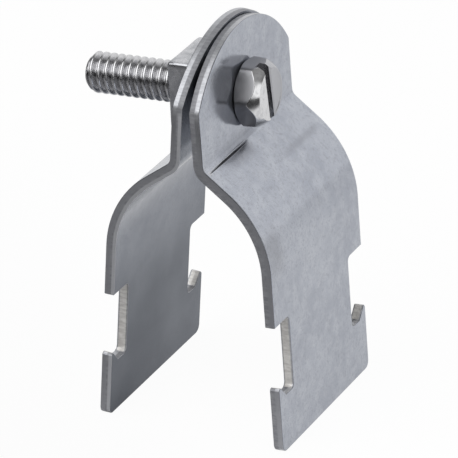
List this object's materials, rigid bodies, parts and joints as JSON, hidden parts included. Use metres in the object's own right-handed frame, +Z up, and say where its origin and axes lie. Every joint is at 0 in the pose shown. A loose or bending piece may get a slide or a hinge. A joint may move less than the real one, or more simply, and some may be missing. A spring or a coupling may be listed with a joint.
{
  "type": "strut pipe clamp",
  "caption": "Pressed-steel strap clamp that holds a pipe on slotted strut, closed by a hex screw with a driver slot and a captive square nut.",
  "frame": {"origin": "on the centre line of the pipe, midway between the two halves", "axes": "+Y along the pipe, +Z up from the feet to the screw, +X towards the screw's head"},
  "size_m": [0.0394, 0.0318, 0.0617],
  "materials": {
    "strap_zinc": "bright zinc-plated steel, satin with a faint blue cast",
    "screw_zinc": "bright zinc-plated steel, satin with a faint blue cast",
    "nut_zinc": "bright zinc-plated steel, satin with a faint blue cast"
  },
  "bodies": {
    "head_side": {"head_side_half": "strap_zinc"},
    "screw": {"clamp_screw": "screw_zinc"},
    "nut": {"square_nut": "nut_zinc"},
    "nut_side": {"nut_side_half": "strap_zinc"}
  },
  "joints": [
    {"name": "screw_turn", "type": "hinge", "parent": "head_side", "child": "screw", "pos_m": [0, 0, 0.02219], "axis": [0.998, 0, 0.0628], "range_deg": [0, 3970]},
    {"name": "nut_travel", "type": "slide", "parent": "head_side", "child": "nut", "axis": [-0.998, 0, -0.0628], "range_m": [0, 0.01397]},
    {"name": "nut_half_rock", "type": "hinge", "parent": "nut", "child": "nut_side", "pos_m": [-0.00251, 0, 0.01657], "axis": [0, -1, 0], "range_deg": [0, 6]}
  ],
  "couplings": [
    {"joint": "screw_turn", "follows": "nut_travel", "rad_per_m": 4947.4}
  ]
}
